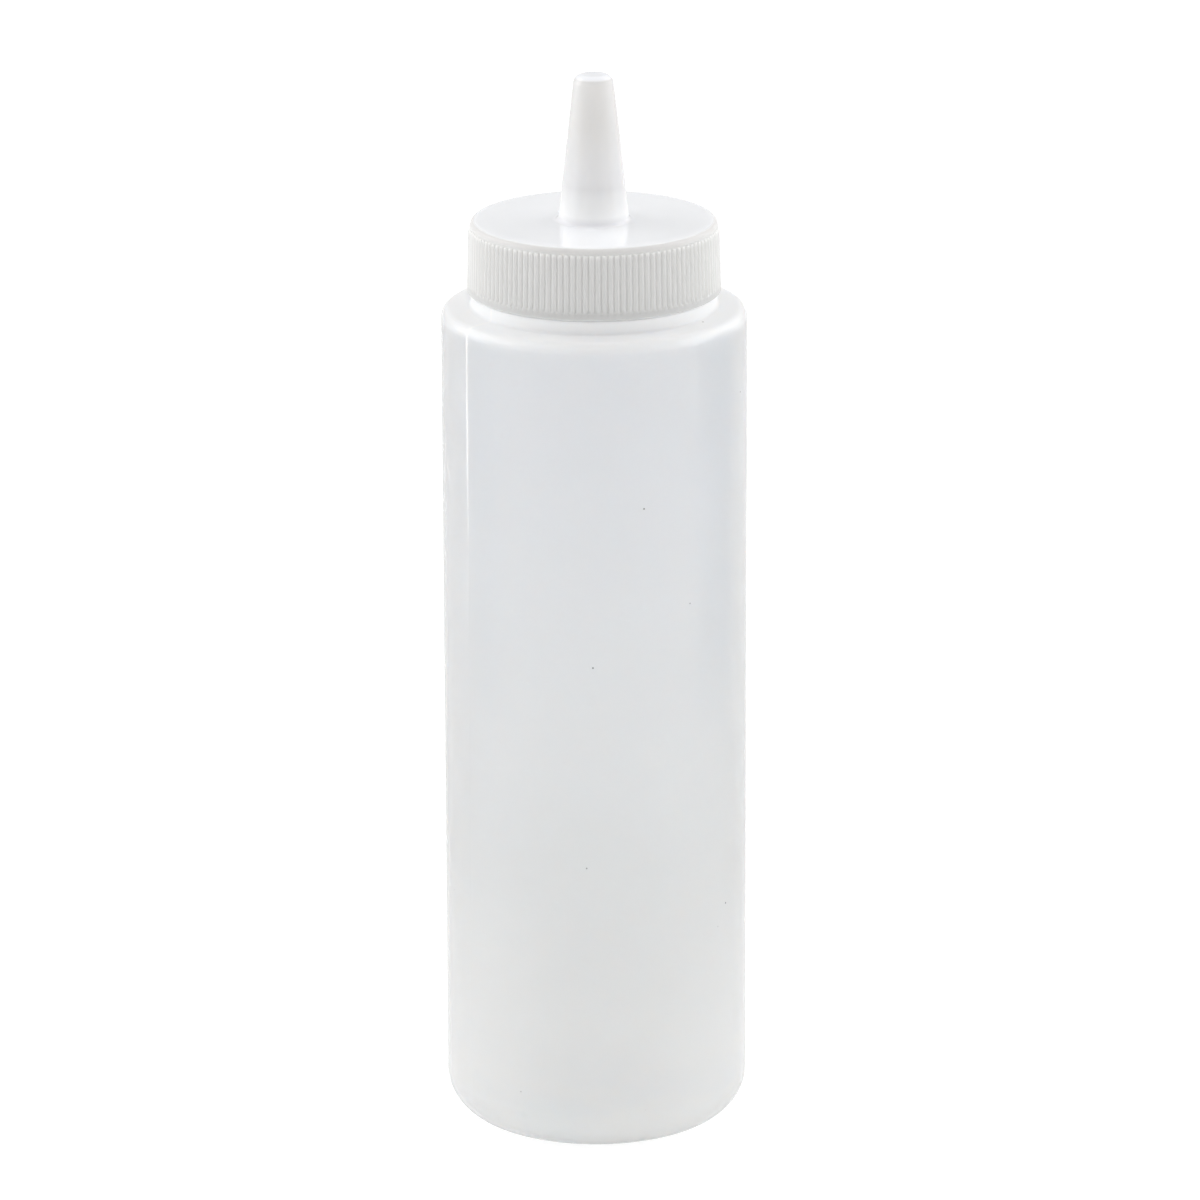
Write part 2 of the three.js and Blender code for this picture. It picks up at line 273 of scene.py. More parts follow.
def turned(name, outline, columns, start_angle=0.0, sweep=math.tau):
    """A new piece: one point is extruded along an outline of radius and height, and the line is spun."""
    deselect_everything()
    (radius, height), *rest = outline
    bpy.ops.mesh.primitive_plane_add(size=MM, location=(radius, 0, height))
    piece = bpy.context.object
    piece.name = name
    bpy.ops.object.transform_apply(location=True, rotation=True, scale=True)
    bpy.ops.object.mode_set(mode="EDIT")
    bpy.ops.mesh.select_mode(type="VERT")
    bpy.ops.mesh.select_all(action="SELECT")
    bpy.ops.mesh.merge(type="CENTER")
    for r, z in rest:
        step = {"value": (r - radius, 0, z - height)}
        bpy.ops.mesh.extrude_region_move(TRANSFORM_OT_translate=step)
        radius, height = r, z
    bpy.ops.mesh.select_all(action="SELECT")
    bpy.ops.mesh.spin(steps=columns, angle=sweep, center=(0, 0, 0), axis=(0, 0, 1))
    bpy.ops.mesh.select_all(action="SELECT")
    bpy.ops.mesh.remove_doubles(threshold=SAME_POINT)
    bpy.ops.mesh.normals_make_consistent(inside=False)
    bpy.ops.object.mode_set(mode="OBJECT")
    if start_angle:
        piece.rotation_euler.z = start_angle
        bpy.ops.object.transform_apply(location=True, rotation=True, scale=True)
    return piece


def repeated_round(sector, count):
    """Repeats a sector round the Z axis until it closes."""
    deselect_everything()
    bpy.ops.object.empty_add(rotation=(0, 0, math.tau / count))
    turn = bpy.context.object
    make_active(sector)
    bpy.ops.object.modifier_add(type="ARRAY")
    array = sector.modifiers[-1]
    array.count = count
    array.use_relative_offset = False
    array.use_object_offset = True
    array.offset_object = turn
    bpy.ops.object.modifier_apply(modifier=array.name)
    bpy.data.objects.remove(turn)
    bpy.ops.object.mode_set(mode="EDIT")
    bpy.ops.mesh.select_all(action="SELECT")
    bpy.ops.mesh.remove_doubles(threshold=SAME_POINT)
    bpy.ops.object.mode_set(mode="OBJECT")


def joined(piece, *others):
    """Joins other objects into piece."""
    make_active(piece)
    for other in others:
        other.select_set(True)
    bpy.ops.object.join()
    return piece


def on_ring(radius, height):
    """A test for points that lie on one circle round the Z axis."""

    def test(co):
        return abs(co.z - height) < MM / 200 and abs(math.hypot(co.x, co.y) - radius) < MM / 50

    return test


def bridged(piece, ring_a, ring_b):
    """Bridges two open rings of edges, each given by radius and height."""
    first, second = on_ring(*ring_a), on_ring(*ring_b)
    make_active(piece)
    bpy.ops.object.mode_set(mode="EDIT")
    select_points(piece, lambda co: first(co) or second(co))
    bpy.ops.mesh.select_mode(type="EDGE")
    if "FINISHED" not in bpy.ops.mesh.bridge_edge_loops():
        raise RuntimeError(f"{piece.name} has no two open rings at {ring_a} and {ring_b}")
    bpy.ops.object.mode_set(mode="OBJECT")


def faced_outwards(piece):
    """Turns all faces of one closed piece outwards."""
    make_active(piece)
    bpy.ops.object.mode_set(mode="EDIT")
    bpy.ops.mesh.select_all(action="SELECT")
    bpy.ops.mesh.remove_doubles(threshold=SAME_POINT)
    bpy.ops.mesh.normals_make_consistent(inside=False)
    bpy.ops.object.mode_set(mode="OBJECT")


def fused(piece, addition):
    """Fuses an overlapping solid into piece by a boolean union."""
    faced_outwards(piece)
    bpy.ops.object.modifier_add(type="BOOLEAN")
    union = piece.modifiers[-1]
    union.operation = "UNION"
    union.solver = "EXACT"
    union.object = addition
    before = len(piece.data.vertices)
    bpy.ops.object.modifier_apply(modifier=union.name)
    bpy.data.objects.remove(addition)
    if len(piece.data.vertices) <= before:
        raise RuntimeError(f"nothing was fused into {piece.name}")


def finished(piece, body, node, material, crease_degrees):
    """Points the faces outwards, smooths them up to an angle, and hangs the piece on the frame."""
    faced_outwards(piece)
    bpy.ops.object.shade_smooth_by_angle(angle=math.radians(crease_degrees))
    piece.data.materials.clear()
    piece.data.materials.append(material)
    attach(piece, body)
    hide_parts(node)


def helical_ridge(name, wall, crest, root_width, crest_width, turns, start_turn, start_height):
    """A right-hand thread ridge of rounded trapezium section, with both ends run out into the wall.

    The wall and the crest are radii. The crest lies outside the neck's wall and inside the cap's.
    """
    root = wall - math.copysign(THREAD_SUNK, crest - wall)
    deselect_everything()
    bpy.ops.mesh.primitive_plane_add(size=1, rotation=(QUARTER, 0, 0))
    ridge = bpy.context.object
    ridge.name = name
    ridge.scale = (abs(crest - root), root_width, 1)
    ridge.location = ((crest + root) / 2, 0, start_height)
    bpy.ops.object.transform_apply(location=True, rotation=True, scale=True)
    bpy.ops.object.mode_set(mode="EDIT")
    select_points(ridge, lambda co: abs(co.x - crest) < MM / 10)
    middle = (crest, 0, start_height)
    bpy.ops.transform.resize(value=(1, 1, crest_width / root_width), center_override=middle)
    bpy.ops.mesh.bevel(affect="VERTICES", offset=crest_width / 4, segments=2)
    bpy.ops.mesh.select_all(action="SELECT")
    bpy.ops.mesh.delete(type="ONLY_FACE")
    bpy.ops.object.mode_set(mode="OBJECT")
    section = len(ridge.data.vertices)
    ridge.rotation_euler.z = start_turn * math.tau
    bpy.ops.object.transform_apply(location=True, rotation=True, scale=True)
    steps = round(turns * THREAD_COLUMNS)
    bpy.ops.object.modifier_add(type="SCREW")
    screw = ridge.modifiers[-1]
    screw.axis = "Z"
    screw.angle = turns * math.tau
    screw.screw_offset = turns * THREAD_PITCH
    screw.steps = screw.render_steps = steps
    screw.use_merge_vertices = False
    bpy.ops.object.modifier_apply(modifier=screw.name)
    # Each end sinks over a tenth of a turn, as a quarter of a sine wave, to just below the wall
    run_out = THREAD_COLUMNS // 10
    below = math.copysign(MM / 20, crest - wall)
    bpy.ops.object.mode_set(mode="EDIT")
    stations = len(ridge.data.vertices) // section
    for i in range(run_out):
        share = math.sin(QUARTER * i / run_out)
        target = wall + (crest - wall) * share - below * (1 - share)
        for station in (i, stations - 1 - i):
            bpy.ops.mesh.select_mode(type="VERT")
            bpy.ops.mesh.select_all(action="DESELECT")
            mesh = bmesh.from_edit_mesh(ridge.data)
            mesh.verts.ensure_lookup_table()
            for v in mesh.verts[station * section : (station + 1) * section]:
                v.select = abs(math.hypot(v.co.x, v.co.y) - root) > MM / 10
            mesh.select_flush(True)
            size = target / crest
            bpy.ops.transform.resize(value=(size, size, 1), center_override=(0, 0, 0))
    bpy.ops.mesh.select_mode(type="EDGE")
    bpy.ops.mesh.select_all(action="DESELECT")
    bpy.ops.mesh.select_non_manifold()
    bpy.ops.mesh.fill_holes(sides=0)
    bpy.ops.mesh.select_all(action="SELECT")
    bpy.ops.mesh.normals_make_consistent(inside=False)
    bpy.ops.object.mode_set(mode="OBJECT")
    return ridge


def push_up_outline(sizes, lift):
    """The hollow of the base, from its centre to the inner edge of the standing ring."""
    standing_inner = BODY_RADIUS - sizes.heel - sizes.standing_width
    steps = 14
    points = [(0, sizes.push_up + lift)]
    for i in range(steps + 1):
        fall = (1 + math.cos(math.pi * i / steps)) / 2
        radius = standing_inner - sizes.push_up_slope * (1 - i / steps)
        points.append((radius, sizes.push_up * fall + lift))
    return points


def bottle_outside(sizes):
    """The bottle's outline from the centre of its base to the rim's inner edge."""
    standing = BODY_RADIUS - sizes.heel
    edge_radius = BODY_RADIUS - sizes.shoulder_edge_width
    edge_height = sizes.shoulder_height - sizes.shoulder_edge_drop
    base_of_collar = sizes.shoulder_height + sizes.shoulder_rise
    collar, top, neck = sizes.collar_radius, sizes.collar_top, sizes.neck_radius
    fillet, edge, lip = 0.5 * MM, 0.4 * MM, 0.45 * MM
    return [
        *push_up_outline(sizes, 0),
        *arc(standing, sizes.heel, sizes.heel, sizes.heel, -QUARTER, 0, 26),
        *straight((BODY_RADIUS, sizes.heel), (BODY_RADIUS, edge_height), 28)[:-1],
        *arc(edge_radius, edge_height, sizes.shoulder_edge_width, sizes.shoulder_edge_drop, 0, QUARTER, 16),
        *straight((edge_radius, sizes.shoulder_height), (collar + fillet, base_of_collar), 5)[:-1],
        *arc(collar + fillet, base_of_collar + fillet, fillet, fillet, -QUARTER, -2 * QUARTER, 6),
        *arc(collar - edge, top - edge, edge, edge, 0, QUARTER, 6),
        *arc(neck + edge, top + edge, edge, edge, -QUARTER, -2 * QUARTER, 5),
        *arc(neck - lip, RIM_HEIGHT - lip, lip, lip, 0, QUARTER, 6),
    ]


def bottle_inside(sizes):
    """The bottle's inner outline, from the rim's inner edge down to the centre of the base."""
    standing = BODY_RADIUS - sizes.heel
    edge_radius = BODY_RADIUS - sizes.shoulder_edge_width
    edge_height = sizes.shoulder_height - sizes.shoulder_edge_drop
    inner_collar = sizes.collar_radius - sizes.wall
    inner_base = sizes.shoulder_height + sizes.shoulder_rise - sizes.wall
    inner_heel = sizes.heel - sizes.wall
    edge_width, edge_drop = sizes.shoulder_edge_width - sizes.wall, sizes.shoulder_edge_drop - sizes.wall
    bore, fillet, lip = sizes.bore_radius, 0.5 * MM, 0.3 * MM
    return [
        *arc(bore + lip, RIM_HEIGHT - lip, lip, lip, QUARTER, 2 * QUARTER, 4),
        (bore, sizes.collar_top - sizes.wall),
        *arc(inner_collar + fillet, inner_base + fillet, fillet, fillet, 2 * QUARTER, 3 * QUARTER, 4),
        *arc(edge_radius, edge_height, edge_width, edge_drop, QUARTER, 0, 10),
        *arc(standing, sizes.heel, inner_heel, inner_heel, 0, -QUARTER, 22),
        *reversed(push_up_outline(sizes, sizes.wall)),
    ]


def raise_parting_line(shell, sizes):
    """Bevels the two columns of edges in the mould's parting plane and draws their middle outwards."""
    across = Vector(ACROSS_PARTING)
    inner_end = BODY_RADIUS - sizes.heel + MM
    collar_top = sizes.collar_top - MM / 10

    def in_plane(co):
        outer = math.hypot(co.x, co.y) > inner_end
        return abs(co.dot(across)) < MM / 100 and outer and MM / 2 < co.z < collar_top

    make_active(shell)
    bpy.ops.object.mode_set(mode="EDIT")
    select_points(shell, in_plane)
    bpy.ops.mesh.select_mode(type="EDGE")
    bpy.ops.mesh.bevel(affect="EDGES", offset=sizes.parting_width / 2, segments=2)
    # The line is sharpest on the shoulder and dies away down the wall
    ends = [*(start for start, _ in PARTING_ZONES[1:]), PARTING_END]
    for (low, stand), high in zip(PARTING_ZONES, ends, strict=True):
        select_points(shell, lambda co, a=low, b=high: in_plane(co) and a * MM <= co.z < b * MM)
        size = 1 + sizes.parting_height * stand / BODY_RADIUS
        bpy.ops.transform.resize(value=(size, size, 1), center_override=(0, 0, 0))
    bpy.ops.object.mode_set(mode="OBJECT")


def base_weld(sizes):
    """The bar of plastic across the base where the closing mould pinched the tube shut."""
    flat = BODY_RADIUS - sizes.heel - sizes.standing_width - sizes.push_up_slope
    # It ends four fifths of the way down the slope
    reach = flat + sizes.push_up_slope * 0.8
    steps = 24
    stations = [-reach + 2 * reach * i / steps for i in range(steps + 1)]

    def height(x):
        share = max(0.0, abs(x) - flat) / sizes.push_up_slope
        return sizes.push_up * (1 + math.cos(math.pi * share)) / 2 + sizes.wall / 2

    deselect_everything()
    tall = sizes.wall + 2 * sizes.weld_height
    bpy.ops.mesh.primitive_plane_add(size=1, rotation=(0, QUARTER, 0))
    weld = bpy.context.object
    weld.name = "base_weld"
    weld.scale = (tall, sizes.weld_width, 1)
    weld.location = (stations[0], 0, height(stations[0]))
    bpy.ops.object.transform_apply(location=True, rotation=True, scale=True)
    bpy.ops.object.mode_set(mode="EDIT")
    bpy.ops.mesh.select_mode(type="VERT")
    bpy.ops.mesh.select_all(action="SELECT")
    bpy.ops.mesh.bevel(affect="VERTICES", offset=sizes.weld_height * 0.8, segments=3)
    bpy.ops.mesh.select_all(action="SELECT")
    for a, b in zip(stations, stations[1:]):
        step = {"value": (b - a, 0, height(b) - height(a))}
        bpy.ops.mesh.extrude_region_move(TRANSFORM_OT_translate=step)
    # Both ends taper, to less than half the width and to half the height
    taper = (1, 0.4, 0.5)
    for end in (stations[0], stations[-1]):
        select_points(weld, lambda co, x=end: abs(co.x - x) < MM / 100)
        bpy.ops.transform.resize(value=taper, center_override=(end, 0, height(end)))
    bpy.ops.mesh.select_all(action="SELECT")
    bpy.ops.mesh.normals_make_consistent(inside=False)
    bpy.ops.object.mode_set(mode="OBJECT")
    weld.rotation_euler.z = PARTING_ANGLE
    bpy.ops.object.transform_apply(location=True, rotation=True, scale=True)
    return weld


def add_node(tree, kind, inputs=(), output=None, **settings):
    """Adds one node with its settings and links, and returns the named output, or else the first open one.

    The inputs are values for the open sockets in order, or a dictionary of values by the socket's name. A
    value that is itself an output is linked.
    """
    made = tree.nodes.new(f"ShaderNode{kind}")
    for key, value in settings.items():
        setattr(made, key, value)
    if isinstance(inputs, dict):
        pairs = [(made.inputs[name], value) for name, value in inputs.items()]
    else:
        opened = [socket for socket in made.inputs if socket.enabled]
        pairs = list(zip(opened, inputs))
    for socket, value in pairs:
        if isinstance(value, bpy.types.NodeSocket):
            tree.links.new(value, socket)
        else:
            socket.default_value = value
    return made.outputs[output] if output else next((out for out in made.outputs if out.enabled), None)


def new_material(name):
    """An empty node material, its tree, and the object's own coordinates."""
    material = bpy.data.materials.new(name)
    material.use_nodes = True
    tree = material.node_tree
    tree.nodes.clear()
    return material, tree, add_node(tree, "TexCoord", output="Object")


def per_metre(millimetres):
    """The scale of a pattern whose features have this size."""
    return 1 / (millimetres * MM)


def product(tree, first, *rest):
    """The product of several values."""
    for value in rest:
        first = add_node(tree, "Math", [first, value], operation="MULTIPLY")
    return first


def clouded(tree, place, base, millimetres):
    """A colour with faint clouds of slightly denser plastic in it, of this size."""
    clouds = add_node(tree, "TexNoise", [place, per_metre(millimetres), 3])
    shade = add_node(tree, "MapRange", [clouds, 0.3, 0.7, 0.985, 1])
    return add_node(tree, "Mix", [1, base, shade], **MULTIPLY)


def spots(tree, place, spacing, core, edge, inside, outside):
    """Scattered round spots, about one to each cube of this spacing, blurred from core to edge.

    The spacing and the radii of core and edge are in millimetres.
    """
    distance = add_node(tree, "TexVoronoi", [place, per_metre(spacing)])
    return add_node(tree, "MapRange", [distance, core / spacing, edge / spacing, inside, outside])


def axis_radius(tree, place):
    """The distance from the Z axis."""
    flat = add_node(tree, "VectorMath", [place, (1, 1, 0)], operation="MULTIPLY")
    return add_node(tree, "VectorMath", [flat], operation="LENGTH")


def blow_moulded_polyethylene(sizes, finishes):
    """Natural low-density polyethylene, blown into a satin mould: milky, bluish and see-through.

    Light goes through the thin wall and comes out scattered. The eye gets a soft white glow, faint upright
    die lines, cloudy patches, the bluish weld of the base through the wall, and here and there a scorched
    grain. The shoulder and the collar carry painted light, the parting line a painted highlight, and the heel
    painted patches of the base as seen through the wall.
    """
    material, tree, place = new_material("Blow-moulded low-density polyethylene")
    height = add_node(tree, "SeparateXYZ", [place], output="Z")
    up = add_node(tree, "MapRange", [height, 20 * MM, 120 * MM])
    base = add_node(tree, "Mix", [up, finishes.body_lower[:], finishes.body_upper[:]], **MIX)
    # The clouds are 14 mm across
    base = clouded(tree, place, base, 14)
    # Painted light: the shoulder and the collar are painted paler, against the shade under the cap
    shoulder_light = add_node(tree, "MapRange", [height, 137 * MM, 139.2 * MM, 0, 0.85])
    base = add_node(tree, "Mix", [shoulder_light, base, finishes.shoulder_painted_light[:]], **MIX)
    # Smudges 2 mm across, where the melt was folded
    fold = spots(tree, place, 20, 0.5, 1.1, 0.94, 1)
    base = add_node(tree, "Mix", [1, base, fold], **MULTIPLY)
    # Scorched grains 0.35 mm across
    grain = spots(tree, place, 7, 0.12, 0.2, 1, 0)
    base = add_node(tree, "Mix", [grain, base, finishes.speck[:]], **MIX)
    # The parting line, a little thicker than the wall beside it, is painted whiter, strongest high up: a
    # painted highlight along its ridge
    signed = add_node(tree, "VectorMath", [place, ACROSS_PARTING], operation="DOT_PRODUCT")
    off_plane = add_node(tree, "Math", [signed], operation="ABSOLUTE")
    line = add_node(tree, "MapRange", [off_plane, 0.12 * MM, 0.4 * MM, 1, 0])
    parting = product(tree, line, add_node(tree, "MapRange", [height, 85 * MM, 125 * MM, 0, 0.8]))
    base = add_node(tree, "Mix", [parting, base, WHITE], **MIX)
    # The weld of the base, thicker than what lies beside it
    half = sizes.weld_width / 2
    in_plane = add_node(tree, "MapRange", [off_plane, half, half + 0.4 * MM, 1, 0])
    low = add_node(tree, "MapRange", [height, sizes.push_up + 1.6 * MM, sizes.push_up + 2.2 * MM, 1, 0])
    inner = add_node(tree, "MapRange", [axis_radius(tree, place), 12.5 * MM, 14 * MM, 1, 0])
    base = add_node(tree, "Mix", [product(tree, in_plane, low, inner), base, finishes.weld[:]], **MIX)
    # Painted patches 7 mm high, bluish and warm, drawn out along the heel: the base and its weld as seen
    # through the wall, painted on
    drawn_round = add_node(tree, "Mapping", {"Vector": place, "Scale": (0.3, 0.3, 1)})
    patches = add_node(tree, "TexNoise", [drawn_round, per_metre(7)])
    side = add_node(tree, "MapRange", [patches, 0.42, 0.58])
    patch = add_node(tree, "Mix", [side, finishes.cool_patch[:], finishes.warm_patch[:]], **MIX)
    near_base = add_node(tree, "MapRange", [height, 18 * MM, 8 * MM, 0, 0.16])
    base = add_node(tree, "Mix", [near_base, base, patch], **MULTIPLY)
    # Die lines: drawn out upright, 1.5 mm apart round the body. The mould is smoother round the base
    drawn_up = add_node(tree, "Mapping", {"Vector": place, "Scale": (1, 1, 0.02)})
    lines = add_node(tree, "TexNoise", [drawn_up, per_metre(1.5)])
    mould = add_node(tree, "MapRange", [height, 12 * MM, 45 * MM, 0.29, 0.36])
    # Thicker plastic at the heel, the shoulder and the collar lets less light straight through
    wall_clear = add_node(tree, "MapRange", [height, 4 * MM, 50 * MM, 0.48, 0.66])
    below_shoulder = add_node(tree, "MapRange", [height, 139.2 * MM, 136.5 * MM, 0.4])
    below_collar = add_node(tree, "MapRange", [height, 139.7 * MM, 139 * MM, 0.53])
    beside_line = add_node(tree, "MapRange", [parting, 0, 1, 1, 0.3])
    surface = {
        "Base Color": base,
        "Roughness": add_node(tree, "Math", [lines, 0.06, mould], operation="MULTIPLY_ADD"),
        "Normal": add_node(tree, "Bump", {"Height": lines, "Strength": 0.15, "Distance": 0.02 * MM}),
        "Transmission Weight": product(tree, wall_clear, below_shoulder, below_collar, beside_line),
        # The mould is glossy up to the shoulder's rounding and dull on its flat
        "Coat Weight": add_node(tree, "MapRange", [height, 138.8 * MM, 138.2 * MM, 0.1, 0.8]),
        "Coat Roughness": 0.06,
        "IOR": POLYETHYLENE_IOR,
        "Subsurface Weight": 1,
        "Subsurface Radius": (1, 0.95, 0.9),
        "Subsurface Scale": 0.6 * MM,
    }
    add_node(tree, "OutputMaterial", [add_node(tree, "BsdfPrincipled", surface)])
    return material


def injection_moulded_polyethylene(sizes, finishes):
    """Natural low-density polyethylene, injection moulded: milky white, a little see-through.

    The disc and the cone came off polished steel, so they shine. The ribs and the skirt are satin. The
    colours
    are painted light and shade: copies of the one plastic, lighter where light falls and darker where it
    doesn't.
    """
    material, tree, place = new_material("Injection-moulded low-density polyethylene")
    height = add_node(tree, "SeparateXYZ", [place], output="Z")
    radius = axis_radius(tree, place)
    disc = sizes.disc_height
    bore_end = TIP_HEIGHT - sizes.nozzle_tip_wall
    # Painted light at the foot of the cone, fading out up the cone
    up_cone = add_node(tree, "MapRange", [height, disc + 2 * MM, disc + 16 * MM])
    cone = add_node(tree, "Mix", [up_cone, finishes.cap_cone_foot_lit[:], finishes.cap_cone_as_lit[:]], **MIX)
    # The tip is solid over the end of the bore, and its colour there is painted darker: painted shade
    solid = add_node(tree, "MapRange", [height, bore_end + 0.9 * MM, bore_end + 1.2 * MM])
    cone = add_node(tree, "Mix", [solid, cone, finishes.cap_tip_as_lit[:]], **MIX)
    off_disc = add_node(tree, "MapRange", [height, disc + 0.1 * MM, disc + 0.7 * MM])
    smooth = add_node(tree, "Mix", [off_disc, finishes.cap_disc_as_lit[:], cone], **MIX)
    # Painted highlight on the rounding between cone and disc, standing in for the disc that it reflects
    beside_cone = add_node(tree, "MapRange", [radius, 6.8 * MM, 6.1 * MM])
    at_disc = add_node(tree, "MapRange", [height, disc + 1.4 * MM, disc + 0.5 * MM])
    rounding = product(tree, beside_cone, at_disc)
    smooth = add_node(tree, "Mix", [rounding, smooth, finishes.cap_fillet_highlight[:]], **MIX)
    # Painted light in the grooves, lighter towards their floors: it stands in for the light through the
    # thinner wall there and works against their shade
    crest_heights = [height, disc - 11.8 * MM, disc - 1.8 * MM]
    crest = add_node(tree, "MapRange", [*crest_heights, CAP_FOOT_RADIUS, sizes.rib_top_radius])
    depth = add_node(tree, "Math", [crest, radius], operation="SUBTRACT")
    thin = add_node(tree, "MapRange", [depth, 0, sizes.rib_stand / 2, 1, 1.28])
    # Painted shade: the ribbed skirt is painted darker, as the least lit part of the cap
    ribbed = add_node(tree, "Mix", [1, finishes.cap_ribbed_shade[:], thin], **MULTIPLY)
    # Painted shade on the disc's rounded edge, where it turns down into the skirt
    corner = add_node(tree, "MapRange", [height, disc - 1.2 * MM, disc - 0.6 * MM])
    satin = add_node(tree, "Mix", [corner, ribbed, finishes.cap_corner_shade[:]], **MIX)
    polished = add_node(tree, "MapRange", [height, disc - 0.12 * MM, disc - 0.01 * MM])
    base = add_node(tree, "Mix", [polished, satin, smooth], **MIX)
    # Spark-eroded grain of the mould, 0.35 mm
    grain = add_node(tree, "TexNoise", [place, per_metre(0.35)])
    gloss = add_node(tree, "MapRange", [polished, 0, 1, 0.42, 0.1])
    # The cone lets some light straight through, so its bore shows as a darker core
    clear = add_node(tree, "MapRange", [height, disc + 0.5 * MM, disc + 6 * MM, 0, 0.35])
    hollow = add_node(tree, "MapRange", [solid, 0, 1, 1, 0.1])
    surface = {
        # The clouds are 6 mm across
        "Base Color": clouded(tree, place, base, 6),
        "Roughness": add_node(tree, "Math", [grain, 0.05, gloss], operation="MULTIPLY_ADD"),
        "Normal": add_node(tree, "Bump", {"Height": grain, "Strength": 0.08, "Distance": 0.02 * MM}),
        "Transmission Weight": product(tree, clear, hollow),
        "IOR": POLYETHYLENE_IOR,
        "Subsurface Weight": 1,
        "Subsurface Radius": (1, 0.97, 0.94),
        "Subsurface Scale": 1.6 * MM,
    }
    add_node(tree, "OutputMaterial", [add_node(tree, "BsdfPrincipled", surface)])
    return material


def polyethylene_foam(finishes):
    """Closed-cell polyethylene foam, cut from sheet: matte, off-white and finely pitted."""
    material, tree, place = new_material("Polyethylene foam")
    # The cells are 0.4 mm across
    cells = add_node(tree, "TexVoronoi", [place, per_metre(0.4)])
    pits = add_node(tree, "MapRange", [cells, 0, 1, 0.94, 1])
    surface = {
        "Base Color": add_node(tree, "Mix", [1, finishes.foam[:], pits], **MULTIPLY),
        "Normal": add_node(tree, "Bump", {"Height": cells, "Strength": 0.5, "Distance": 0.1 * MM}),
        "Roughness": 0.85,
    }
    add_node(tree, "OutputMaterial", [add_node(tree, "BsdfPrincipled", surface)])
    return material


class SAUCE_OT_bottle(bpy.types.Operator):
    """Models the blow-moulded bottle: base, heel, body, shoulder, collar, neck and thread"""

    bl_idname = "sauce.bottle"
    bl_label = "Bottle"

    def execute(self, context):
        sizes = context.scene.bottle_sizes
        outside = bottle_outside(sizes)
        inside = bottle_inside(sizes)
        shell = turned("blow_moulded_bottle", outside, BODY_COLUMNS)
        raise_parting_line(shell, sizes)
        joined(shell, turned("bottle_lining", inside, BODY_COLUMNS))
        bridged(shell, outside[-1], inside[0])
        fused(shell, base_weld(sizes))
        wall, crest, root_width, crest_width = sizes.neck_radius, sizes.thread_radius, 2.4 * MM, 1.2 * MM
        below_rim, turns, start_turn = 2.2 * MM, 1.16, 0
        start = RIM_HEIGHT - below_rim - turns * THREAD_PITCH
        thread = (wall, crest, root_width, crest_width, turns, start_turn, start)
        fused(shell, helical_ridge("neck_thread", *thread))
        material = blow_moulded_polyethylene(sizes, context.scene.finishes)
        finished(shell, "bottle", "bottle", material, 40)
        return {"FINISHED"}


class SAUCE_OT_sealing_ring(bpy.types.Operator):
    """Models the foam ring that lies between the neck's rim and the cap"""

    bl_idname = "sauce.sealing_ring"
    bl_label = "Sealing ring"

    def execute(self, context):
        inner, outer = 14.6 * MM, SEAL_RADIUS
        low, high, edge = SEAL_FOOT_HEIGHT, SEAL_TOP_HEIGHT, 0.15 * MM
        outline = [
            *arc(inner + edge, low + edge, edge, edge, 2 * QUARTER, 3 * QUARTER, 3),
            *arc(outer - edge, low + edge, edge, edge, -QUARTER, 0, 3),
            *arc(outer - edge, high - edge, edge, edge, 0, QUARTER, 3),
            *arc(inner + edge, high - edge, edge, edge, QUARTER, 2 * QUARTER, 3),
        ]
        ring = turned("foam_sealing_ring", outline, SEAL_COLUMNS)
        bridged(ring, outline[-1], outline[0])
        material = polyethylene_foam(context.scene.finishes)
        finished(ring, "seal", "sealing_ring", material, 50)
        return {"FINISHED"}


def ribbed_skirt(sizes):
    """The skirt's outer face, from its foot to the plain band under the disc, with all its ribs."""
    foot, top_of_ribs = CAP_FOOT_HEIGHT, sizes.disc_height - sizes.rib_top_drop
    full = top_of_ribs - sizes.rib_end
    foot_edge, lead_in = 0.25 * MM, 0.3 * MM
    ramp = foot + sizes.foot_band

    def face(height):
        share = (height - foot) / (full - foot)
        return CAP_FOOT_RADIUS + (sizes.rib_top_radius - CAP_FOOT_RADIUS) * share

    steps = 5
    ramp_heights = [ramp + sizes.foot_ramp * i / steps for i in range(steps + 1)]
    middle_heights = [foot + share * (full - foot) for share in (0.45, 0.7)]
    stand = sizes.rib_top_radius - sizes.band_radius
    ends = arc(sizes.band_radius, full, stand, sizes.rib_end, 0, QUARTER, 6)
    outline = [
        (sizes.skirt_bore, foot + lead_in),
        (sizes.skirt_bore + lead_in, foot),
        *arc(CAP_FOOT_RADIUS - foot_edge, foot + foot_edge, foot_edge, foot_edge, -QUARTER, 0, 4),
        *[(face(z), z) for z in (*ramp_heights, *middle_heights)],
        *ends,
        (sizes.band_radius, top_of_ribs + 0.05 * MM),
    ]
    pitch = math.tau / sizes.rib_count
    phase = -QUARTER - RIB_OFFSET
    skirt = turned("ribbed_screw_cap", outline, COLUMNS_PER_RIB, phase, pitch)
    make_active(skirt)
    bpy.ops.object.mode_set(mode="EDIT")
    for radius, height in outline:
        if not ramp < height < top_of_ribs - MM / 100:
            continue
        if height <= full:
            depth = sizes.rib_stand * math.sin(QUARTER * min(1.0, (height - ramp) / sizes.foot_ramp))
        else:
            depth = min(sizes.rib_stand, radius - sizes.band_radius)
        for column, share in enumerate(GROOVE_SHARES):

            def in_column(co, z=height, wanted=column):
                turn = (math.atan2(co.y, co.x) - phase) / pitch * COLUMNS_PER_RIB
                return abs(co.z - z) < MM / 500 and abs(abs(turn) - wanted) < 0.2

            select_points(skirt, in_column)
            size = 1 - depth * share / radius
            bpy.ops.transform.resize(value=(size, size, 1), center_override=(0, 0, 0))
    bpy.ops.object.mode_set(mode="OBJECT")
    repeated_round(skirt, sizes.rib_count)
    return skirt, outline[0], outline[-1]


